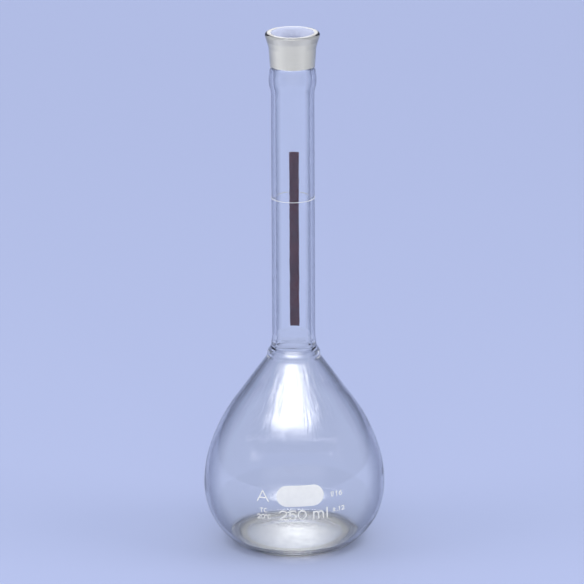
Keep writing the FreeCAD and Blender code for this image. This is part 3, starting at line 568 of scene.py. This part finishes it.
def sweep(stations, section):
    """Closed tube: each station is a function (u, h) -> point, the section a loop of (u, h); both ends are capped."""
    n, verts, faces = len(section), [], []
    for at in stations:
        verts += [at(u, h) for u, h in section]
    for i in range(len(stations) - 1):
        for j in range(n):
            k = (j + 1) % n
            faces.append((i * n + j, i * n + k, (i + 1) * n + k, (i + 1) * n + j))
    faces.append(tuple(range(n))[::-1])
    faces.append(tuple(range((len(stations) - 1) * n, len(stations) * n)))
    return verts, faces


def layer_section(n_flat):
    # section of a layer: u from -1 to 1 across, h as a share of the thickness
    top = [(-1.0, 0.5), (-0.985, 0.8), (-0.94, 1.0)] + [(-0.94 + 1.88 * i / n_flat, 1.0) for i in range(1, n_flat)]
    top += [(0.94, 1.0), (0.985, 0.8), (1.0, 0.5)]
    low = [(1.0 - 2.0 * i / n_flat, -SUNK / ENAMEL) for i in range(n_flat + 1)]
    return top + low


# calibration ring: a fine line, its width a little uneven, open at the back where the stripe runs
gap = math.radians(29.6 / 2 + 0.6)
ring_a = [math.radians(90 - 3.4) + gap + (2 * math.pi - 2 * gap) * i / 220 for i in range(221)]
ring_ends = [min(1.0, 0.25 + 0.75 * min(i, 220 - i) / 2) for i in range(221)]
ring_v, ring_f = sweep(
    [lambda u, h, a=a, e=e: on_neck(a, 155.7 + u * 0.125 * e * (1 + 0.07 * math.sin(9 * a) + 0.05 * math.sin(23 * a + 1)), h * ENAMEL)
     for a, e in zip(ring_a, ring_ends)], layer_section(4))
piece("calibration_ring_enamel", "calibration_ring", ring_v, ring_f, white_enamel)

# sight stripe on the back of the neck
s_half, s_mid = math.radians(29.6 / 2), math.radians(90 - 3.4)
s_n = 130
s_z = [95.2 + (173.6 - 95.2) * i / s_n for i in range(s_n + 1)]
stripe_v, stripe_f = sweep(
    [lambda u, h, z=z: on_neck(s_mid + u * s_half * (1 + 0.006 * math.sin(0.31 * z) + 0.004 * math.sin(0.9 * z + 1)), z, h * ENAMEL)
     for z in s_z], layer_section(14))
piece("sight_stripe_enamel", "sight_stripe", stripe_v, stripe_f, stripe_enamel)

# marking patch: a lozenge with round ends, built from rings that shrink to its middle line
P_SPAN, P_ROUND, P_N = 11.2, 4.62, 26


def lozenge(radius):
    pts = [(P_SPAN / 2 + radius * math.cos(a), radius * math.sin(a)) for a in (-math.pi / 2 + math.pi * i / P_N for i in range(P_N + 1))]
    pts += [(P_SPAN / 2 - P_SPAN * i / P_N, radius) for i in range(1, P_N)]
    pts += [(-P_SPAN / 2 + radius * math.cos(a), radius * math.sin(a)) for a in (math.pi / 2 + math.pi * i / P_N for i in range(P_N + 1))]
    pts += [(-P_SPAN / 2 + P_SPAN * i / P_N, -radius) for i in range(1, P_N)]
    return pts


def patch_mesh():
    levels = [(0.25, -SUNK), (0.6, -SUNK), (0.85, -SUNK), (1.0, -SUNK), (1.0, 0.05), (0.993, 0.085), (0.98, 0.1), (0.93, 0.1),
              (0.8, 0.1), (0.6, 0.1), (0.4, 0.1), (0.2, 0.1)]
    verts, faces = [], []
    count = 4 * P_N
    for share, h in levels:
        for x, z in lozenge(P_ROUND * share):
            ragged = 1 + (0.004 * math.sin(5 * x + 3 * z) if share > 0.97 else 0)
            px, pz = tilted(PIVOT[0] + x * ragged, PIVOT[1] + z * ragged)
            verts.append(on_bulb(px, pz, h))
    for i in range(len(levels) - 1):
        for j in range(count):
            k = (j + 1) % count
            faces.append((i * count + j, i * count + k, (i + 1) * count + k, (i + 1) * count + j))
    for base in (0, (len(levels) - 1) * count):
        # middle: strips across from the lower to the upper side, and a fan at each round end
        up = [base + P_N + i for i in range(P_N + 1)]
        low = [base + (4 * P_N - i) % count for i in range(P_N + 1)]
        for i in range(P_N):
            faces.append((low[i], up[i], up[i + 1], low[i + 1]))
        faces.append(tuple(base + i for i in range(P_N + 1)))
        faces.append(tuple(base + 2 * P_N + i for i in range(P_N + 1)))
    return verts, faces


patch_v, patch_f = patch_mesh()
piece("marking_patch_enamel", "marking_patch", patch_v, patch_f, white_enamel)


# figures: strokes in a unit box, x to the right and y up, thickened with round ends
def bow(cx, cy, rx, ry, start, end, n):
    return [(cx + rx * math.cos(math.radians(start + (end - start) * i / n)),
             cy + ry * math.sin(math.radians(start + (end - start) * i / n))) for i in range(n + 1)]


STROKES = {
    "A": [[(0, 0), (0.5, 1), (1, 0)], [(0.17, 0.34), (0.83, 0.34)]],
    "0": [bow(0.5, 0.5, 0.5, 0.5, 0, 360, 40)],
    "1": [[(0.18, 0.80), (0.55, 1.0), (0.55, 0)]],
    "2": [bow(0.5, 0.70, 0.46, 0.30, 165, -38, 18) + [(0.04, 0.0), (1.0, 0.0)]],
    "5": [[(0.92, 1.0), (0.2, 1.0), (0.1, 0.5)], bow(0.47, 0.325, 0.47, 0.325, 142, -145, 22)],
    "6": [bow(0.5, 0.31, 0.46, 0.31, 0, 360, 28), bow(0.86, 0.34, 0.82, 0.66, 178, 100, 10)],
    "C": [bow(0.55, 0.5, 0.52, 0.5, 48, 312, 22)],
    "T": [[(0, 1), (1, 1)], [(0.5, 1), (0.5, 0)]],
    "m": [[(0, 0), (0, 1)], bow(0.25, 0.66, 0.25, 0.34, 180, 0, 14) + [(0.5, 0)], bow(0.75, 0.66, 0.25, 0.34, 180, 0, 14) + [(1.0, 0)]],
    "l": [[(0, 0), (0, 1)]],
    "deg": [bow(0.5, 0.5, 0.5, 0.5, 0, 360, 20)],
    "pm": [[(0, 0.62), (1, 0.62)], [(0.5, 0.25), (0.5, 1.0)], [(0, 0.06), (1, 0.06)]],
    "dot": [[(0.2, 0.5), (0.8, 0.5)]],
    "taper": [[(0.0, 1.0), (0.28, 0.0), (0.72, 0.0), (1.0, 1.0), (0.0, 1.0)]],
}


def far_from(points, lines):
    """Distance of each point to the nearest stroke."""
    best = np.full(len(points), 1e9)
    for line in lines:
        for a, b in zip(line[:-1], line[1:]):
            a, d = np.array(a), np.array(b) - np.array(a)
            size = float(d @ d)
            s = np.clip(((points - a) @ d) / size, 0, 1) if size > 1e-12 else np.zeros(len(points))
            best = np.minimum(best, np.hypot(*(points - a - s[:, None] * d).T))
    return best


def loops_of(field, x0, z0, cell):
    """Zero lines of a field that is negative inside: closed loops with the inside on the left."""
    follow, spot = {}, {}
    rows, cols = field.shape
    for i in range(rows - 1):
        for j in range(cols - 1):
            corner = [(i, j), (i, j + 1), (i + 1, j + 1), (i + 1, j)]
            inside = [field[c] < 0 for c in corner]
            if all(inside) or not any(inside):
                continue
            for k in range(4):
                if inside[k] and not inside[k - 1]:
                    last = k
                    while inside[(last + 1) % 4]:
                        last += 1
                    keys = []
                    for a, b in ((corner[last % 4], corner[(last + 1) % 4]), (corner[k - 1], corner[k])):
                        key = (min(a, b), max(a, b))
                        t = field[key[0]] / (field[key[0]] - field[key[1]])
                        spot[key] = (x0 + cell * (key[0][1] + (key[1][1] - key[0][1]) * t), z0 + cell * (key[0][0] + (key[1][0] - key[0][0]) * t))
                        keys.append(key)
                    follow[keys[0]] = keys[1]
    loops = []
    while follow:
        start = next(iter(follow))
        key, loop = start, []
        while key in follow:
            loop.append(spot[key])
            key = follow.pop(key)
        loops.append(np.array(loop))
    return loops


def even(loop, step):
    # the same loop with points at even spacing
    closed = np.vstack([loop, loop[:1]])
    run = np.concatenate([[0], np.cumsum(np.hypot(*np.diff(closed, axis=0).T))])
    n = max(8, int(round(run[-1] / step)))
    at = np.linspace(0, run[-1], n, endpoint=False)
    return np.column_stack([np.interp(at, run, closed[:, 0]), np.interp(at, run, closed[:, 1])])


def figures(name, cad, items):
    verts, faces = [], []
    for glyph, left, low, width, height, stroke in items:
        lines = [[tilted(left + x * width, low + y * height) for x, y in line] for line in STROKES[glyph]]
        flat = np.array([q for line in lines for q in line])
        cell = stroke / 7
        x0, z0 = flat.min(axis=0) - stroke
        x1, z1 = flat.max(axis=0) + stroke
        gx, gz = np.meshgrid(np.arange(x0, x1, cell), np.arange(z0, z1, cell))
        grid = np.column_stack([gx.ravel(), gz.ravel()])
        half = stroke / 2 * (1 + 0.05 * np.sin(7.1 * grid[:, 0] + 2.3 * grid[:, 1]) * np.sin(5.3 * grid[:, 1] - 1.7 * grid[:, 0]))
        field = (far_from(grid, lines) - half).reshape(gx.shape)
        loops = [even(loop, stroke / 5) for loop in loops_of(field, x0, z0, cell) if len(loop) > 6]
        rings = []
        for inset, h in ((0.0, -SUNK), (0.0, 0.45 * ENAMEL), (0.10, 0.82 * ENAMEL), (0.28, ENAMEL)):
            ring = []
            for loop in loops:
                d = 1e-3
                slope = np.column_stack([far_from(loop + (d, 0), lines) - far_from(loop - (d, 0), lines),
                                         far_from(loop + (0, d), lines) - far_from(loop - (0, d), lines)]) / (2 * d)
                slope /= np.maximum(np.hypot(*slope.T), 0.6)[:, None]
                spots = []
                for x, z in loop - slope * (inset * stroke / 2):
                    spots.append(len(verts))
                    verts.append(on_bulb(x, z, h))
                ring.append(spots)
            rings.append(ring)
        for below, above in zip(rings[:-1], rings[1:]):
            for lo, hi in zip(below, above):
                for j in range(len(lo)):
                    k = (j + 1) % len(lo)
                    faces.append((lo[j], lo[k], hi[k], hi[j]))
        for ring in (rings[0], rings[-1]):
            order = [i for loop in ring for i in loop]
            outline = [[Vector((verts[i][0], verts[i][2], 0)) * 1000 for i in loop] for loop in ring]
            faces += [tuple(order[i] for i in tri) for tri in tessellate_polygon(outline)]
    return piece(name, cad, verts, faces, white_enamel)


BIG, SMALL = 0.60, 0.36
figures("capacity_mark_enamel", "capacity_mark", [
    ("2", -6.85, 22.25, 3.3, 4.0, BIG),
    ("5", -2.62, 22.25, 3.1, 4.0, BIG),
    ("0", 1.41, 22.25, 3.4, 4.0, BIG),
    ("m", 8.05, 22.1, 4.1, 3.3, BIG),
    ("l", 13.85, 22.1, 1.0, 4.5, BIG),
])
figures("class_mark_enamel", "class_mark", [("A", -16.0, 30.45, 4.7, 4.55, 0.5)])
figures("temperature_mark_enamel", "temperature_mark", [
    ("T", -14.95, 25.5, 1.15, 1.75, SMALL),
    ("C", -13.3, 25.5, 1.2, 1.75, SMALL),
    ("2", -16.2, 22.55, 1.25, 1.85, SMALL),
    ("0", -14.5, 22.55, 1.3, 1.85, SMALL),
    ("deg", -12.75, 23.75, 0.65, 0.65, SMALL * 0.8),
    ("C", -11.75, 22.55, 1.25, 1.85, SMALL),
])
figures("tolerance_mark_enamel", "tolerance_mark", [
    ("pm", 16.35, 24.4, 1.05, 1.55, SMALL),
    ("dot", 18.2, 24.24, SMALL, 0.3, SMALL),
    ("1", 18.75, 24.4, 0.95, 1.75, SMALL),
    ("2", 20.1, 24.4, 1.15, 1.75, SMALL),
])
figures("socket_size_mark_enamel", "socket_size_mark", [
    ("taper", 15.75, 31.2, 1.05, 1.9, SMALL * 0.8),
    ("1", 17.6, 31.2, 1.0, 1.9, SMALL),
    ("6", 19.2, 31.2, 1.25, 1.9, SMALL),
])

# ---------------------------------------------------------------------------------------------------------------
# Floor, light and camera
# ---------------------------------------------------------------------------------------------------------------
def disc(name, radius, z, n):
    mesh = bpy.data.meshes.new(name)
    verts = [(radius * math.cos(2 * math.pi * i / n), radius * math.sin(2 * math.pi * i / n), z) for i in range(n)]
    mesh.from_pydata(verts, [], [tuple(range(n))])
    obj = bpy.data.objects.new(name, mesh)
    scene.collection.objects.link(obj)
    return obj


floor = disc("floor", 9.0, -0.00005, 96)
m, nodes, links = material("floor_paper")
out = node(nodes, "ShaderNodeOutputMaterial")
bsdf = node(nodes, "ShaderNodeBsdfPrincipled")
bsdf.inputs["Base Color"].default_value = (0.43, 0.48, 0.68, 1)
bsdf.inputs["Roughness"].default_value = 0.8
bsdf.inputs["Specular IOR Level"].default_value = 0.0
# painted light: a soft, uneven glowing pool under the foot, standing in for the light gathered by the glass
coord = node(nodes, "ShaderNodeTexCoord")
shift = node(nodes, "ShaderNodeMapping", vector_type="POINT")
shift.inputs["Location"].default_value = (-0.0015, 0.0060, 0.0)
shift.inputs["Scale"].default_value = (1.0, 0.74, 1.0)
links.new(coord.outputs["Object"], shift.inputs["Vector"])
near = node(nodes, "ShaderNodeVectorMath", operation="LENGTH")
links.new(shift.outputs["Vector"], near.inputs[0])
painted_light_pool = ramp(nodes, links, near.outputs["Value"], [(0.003, grey(0.80)), (0.0085, grey(0.50)), (0.0125, grey(0.20)), (0.0190, grey(0.0))])
patchy = noise_tex(nodes, links, coord.outputs["Object"], 170.0, 3.0, 0.6)
uneven = ramp(nodes, links, patchy.outputs["Fac"], [(0.35, grey(0.45)), (0.62, grey(1.0))])
broken = node(nodes, "ShaderNodeMix", data_type="RGBA", blend_type="MULTIPLY")
broken.inputs["Factor"].default_value = 1.0
links.new(painted_light_pool.outputs["Color"], broken.inputs["A"])
links.new(uneven.outputs["Color"], broken.inputs["B"])
# painted light: the pool glows from the floor itself
bsdf.inputs["Emission Strength"].default_value = 1.0
links.new(broken.outputs["Result"], bsdf.inputs["Emission Color"])
links.new(bsdf.outputs["BSDF"], out.inputs["Surface"])
floor.data.materials.append(m)


def area(name, at, aim, size_x, size_y, power, colour=(1, 1, 1)):
    data = bpy.data.lights.new(name, "AREA")
    data.shape = "RECTANGLE"
    data.size, data.size_y = size_x, size_y
    data.energy = power
    data.color = colour
    obj = bpy.data.objects.new(name, data)
    scene.collection.objects.link(obj)
    obj.location = at
    obj.rotation_euler = (Vector(aim) - Vector(at)).to_track_quat("-Z", "Y").to_euler()
    obj.visible_camera = False
    return obj


def see_through(nodes, links, glow, out):
    # the glow is added to what lies behind, so an unlit part of a panel is not a dark card
    clear = node(nodes, "ShaderNodeBsdfTransparent")
    both = node(nodes, "ShaderNodeAddShader")
    links.new(glow.outputs["Emission"], both.inputs[0])
    links.new(clear.outputs["BSDF"], both.inputs[1])
    links.new(both.outputs["Shader"], out.inputs["Surface"])


def lit_patch(name, radius, az, el, middle, size, hot, base, colour, disc_shaped=False):
    """Piece of a sphere round the flask that glows: a soft-edged bright window of half size (across, up), given as
    (full, none) pairs of tangents from its middle direction, on a dim surround. disc_shaped: the window is round."""
    n_a, n_e = 36, 16
    verts, faces = [], []
    for i in range(n_e + 1):
        e = math.radians(el[0] + (el[1] - el[0]) * i / n_e)
        for j in range(n_a + 1):
            a = math.radians(az[0] + (az[1] - az[0]) * j / n_a)
            verts.append((radius * math.sin(a) * math.cos(e), -radius * math.cos(a) * math.cos(e), radius * math.sin(e)))
    for i in range(n_e):
        for j in range(n_a):
            k = i * (n_a + 1) + j
            faces.append((k, k + n_a + 1, k + n_a + 2, k + 1))
    mesh = bpy.data.meshes.new(name)
    mesh.from_pydata(verts, [], faces)
    obj = bpy.data.objects.new(name, mesh)
    scene.collection.objects.link(obj)
    obj.location = (0, 0, 0.07)
    m, nodes, links = material(name)
    out = node(nodes, "ShaderNodeOutputMaterial")
    glow = node(nodes, "ShaderNodeEmission")
    glow.inputs["Color"].default_value = (*colour, 1)
    coord = node(nodes, "ShaderNodeTexCoord")
    a, e = math.radians(middle[0]), math.radians(middle[1])
    axes = [(math.sin(a) * math.cos(e), -math.cos(a) * math.cos(e), math.sin(e)), (math.cos(a), math.sin(a), 0.0),
            (-math.sin(a) * math.sin(e), math.cos(a) * math.sin(e), math.cos(e))]
    dots = []
    for axis in axes:
        dot = node(nodes, "ShaderNodeVectorMath", operation="DOT_PRODUCT")
        dot.inputs[1].default_value = axis
        links.new(coord.outputs["Object"], dot.inputs[0])
        dots.append(dot.outputs["Value"])
    spans = []
    for along in dots[1:]:
        ratio = node(nodes, "ShaderNodeMath", operation="DIVIDE")
        links.new(along, ratio.inputs[0])
        links.new(dots[0], ratio.inputs[1])
        spans.append(ratio.outputs["Value"])
    if disc_shaped:
        pair = node(nodes, "ShaderNodeCombineXYZ")
        links.new(spans[0], pair.inputs["X"])
        links.new(spans[1], pair.inputs["Y"])
        far = node(nodes, "ShaderNodeVectorMath", operation="LENGTH")
        links.new(pair.outputs["Vector"], far.inputs[0])
        spans = [far.outputs["Value"]]
    shares = []
    for along, (full, none) in zip(spans, size):
        span = node(nodes, "ShaderNodeMath", operation="ABSOLUTE")
        links.new(along, span.inputs[0])
        soft = node(nodes, "ShaderNodeMapRange", interpolation_type="SMOOTHSTEP")
        soft.inputs["From Min"].default_value, soft.inputs["From Max"].default_value = full, none
        soft.inputs["To Min"].default_value, soft.inputs["To Max"].default_value = 1.0, 0.0
        links.new(span.outputs["Value"], soft.inputs["Value"])
        shares.append(soft.outputs["Result"])
    window = node(nodes, "ShaderNodeMath", operation="MULTIPLY")
    links.new(shares[0], window.inputs[0])
    links.new(shares[-1], window.inputs[1])
    gain = node(nodes, "ShaderNodeMath", operation="MULTIPLY_ADD")
    gain.inputs[1].default_value = hot
    gain.inputs[2].default_value = base
    links.new(window.outputs["Value"], gain.inputs[0])
    links.new(gain.outputs["Value"], glow.inputs["Strength"])
    see_through(nodes, links, glow, out)
    mesh.materials.append(m)
    obj.visible_camera = obj.visible_diffuse = obj.visible_shadow = False
    return obj


def ribbon(name, near, far, colour):
    # long glowing strip between two lines, seen only in the glass
    mesh = bpy.data.meshes.new(name)
    n = len(near)
    mesh.from_pydata(near + far, [], [(i, i + 1, n + i + 1, n + i) for i in range(n - 1)])
    obj = bpy.data.objects.new(name, mesh)
    scene.collection.objects.link(obj)
    m, nodes, links = material(name)
    out = node(nodes, "ShaderNodeOutputMaterial")
    glow = node(nodes, "ShaderNodeEmission")
    glow.inputs["Color"].default_value = (*colour, 1)
    links.new(glow.outputs["Emission"], out.inputs["Surface"])
    mesh.materials.append(m)
    obj.visible_camera = obj.visible_diffuse = obj.visible_shadow = False
    return obj


def softbox(name, middle, half, soft, power, colour):
    # level light above the flask, seen only in the glass; soft: width of the soft edge at the sides, in front and behind
    mesh = bpy.data.meshes.new(name)
    x, y = half
    mesh.from_pydata([(-x, -y, 0), (x, -y, 0), (x, y, 0), (-x, y, 0)], [], [(3, 2, 1, 0)])
    obj = bpy.data.objects.new(name, mesh)
    scene.collection.objects.link(obj)
    obj.location = middle
    m, nodes, links = material(name)
    out = node(nodes, "ShaderNodeOutputMaterial")
    glow = node(nodes, "ShaderNodeEmission")
    glow.inputs["Color"].default_value = (*colour, 1)
    coord = node(nodes, "ShaderNodeTexCoord")
    parts = node(nodes, "ShaderNodeSeparateXYZ")
    links.new(coord.outputs["Object"], parts.inputs[0])
    window = None
    for axis, start, end in (("X", -x, -x + soft[0]), ("X", x, x - soft[0]), ("Y", -y, -y + soft[1]), ("Y", y, y - soft[2])):
        fall = node(nodes, "ShaderNodeMapRange", interpolation_type="SMOOTHSTEP")
        fall.inputs["From Min"].default_value, fall.inputs["From Max"].default_value = start, end
        links.new(parts.outputs[axis], fall.inputs["Value"])
        if window is None:
            window = fall.outputs["Result"]
            continue
        both = node(nodes, "ShaderNodeMath", operation="MULTIPLY")
        links.new(window, both.inputs[0])
        links.new(fall.outputs["Result"], both.inputs[1])
        window = both.outputs["Value"]
    gain = node(nodes, "ShaderNodeMath", operation="MULTIPLY")
    gain.inputs[1].default_value = power
    links.new(window, gain.inputs[0])
    links.new(gain.outputs["Value"], glow.inputs["Strength"])
    see_through(nodes, links, glow, out)
    mesh.materials.append(m)
    obj.visible_camera = obj.visible_diffuse = obj.visible_shadow = False
    return obj


softbox("softbox_front", (-0.06, -0.49, 0.58), (0.58, 0.27), (0.52, 0.44, 0.08), 13.0, (1.0, 0.99, 0.97))
lit_patch("panel_top", 0.85, (-180, 180), (60, 89.9), (0, 90), ((0.22, 0.42), (0.22, 0.42)), 1.0, 0.0, (1.0, 0.99, 0.97), True)
lit_patch("wall_front", 1.6, (-75, 75), (-1, 23), (0, 10), ((0.5, 1.2), (0.15, 0.26)), 0.28, 0.0, (0.95, 0.96, 1.0))
lit_patch("panel_back", 1.3, (150, 210), (2, 48), (180, 22), ((0.02, 0.17), (0.05, 0.34)), 2.6, 0.0, (1.0, 0.99, 0.96))
# a long bent edge of light high in front
edge_x = [-1.3 + 2.4 * i / 24 for i in range(25)]
ribbon("softbox_edge", [(x, -0.745 + 0.32 * x * x, 0.58) for x in edge_x], [(x, -0.69 + 0.32 * x * x, 0.58) for x in edge_x], (1.5, 1.5, 1.52))
for name, at, size, watts in (("fill_above", (0, 0.4, 2.4), 4.0, 9.0), ("fill_front", (0, -2.4, 1.2), 1.6, 30.0),
                              ("fill_left", (-2.0, -0.5, 0.9), 1.4, 39.0), ("fill_right", (2.0, -0.5, 0.9), 1.4, 38.0), ("fill_back", (0, 2.4, 1.2), 1.6, 24.0)):
    fill = area(name, at, (0, 0.4, 0) if name == "fill_above" else (0, 0, 0.12), size, size, watts)
    fill.visible_glossy = fill.visible_transmission = False

world = bpy.data.worlds.new("studio")
scene.world = world
world.use_nodes = True
bg = world.node_tree.nodes["Background"]
bg.inputs["Color"].default_value = (0.20, 0.23, 0.33, 1)
bg.inputs["Strength"].default_value = 1.0

cam_data = bpy.data.cameras.new("camera")
cam = bpy.data.objects.new("camera", cam_data)
scene.collection.objects.link(cam)
scene.camera = cam
cam_data.sensor_width = 36.0
cam_data.lens = 369.7
cam_data.clip_start, cam_data.clip_end = 0.05, 60.0
eye, aim = Vector((0.0, -2.4864, 0.8617)), Vector((-0.00065, 0.0, 0.1129))
cam.location = eye
cam.rotation_mode = "QUATERNION"
cam.rotation_quaternion = (aim - eye).to_track_quat("-Z", "Y") @ Matrix.Rotation(math.radians(-0.26), 4, "Z").to_quaternion()

scene.view_settings.view_transform = "Standard"
scene.cycles.max_bounces = 24
scene.cycles.transmission_bounces = 24
scene.cycles.glossy_bounces = 12
scene.cycles.transparent_max_bounces = 24
scene.cycles.caustics_reflective = False
scene.cycles.caustics_refractive = False

bpy.context.view_layer.update()
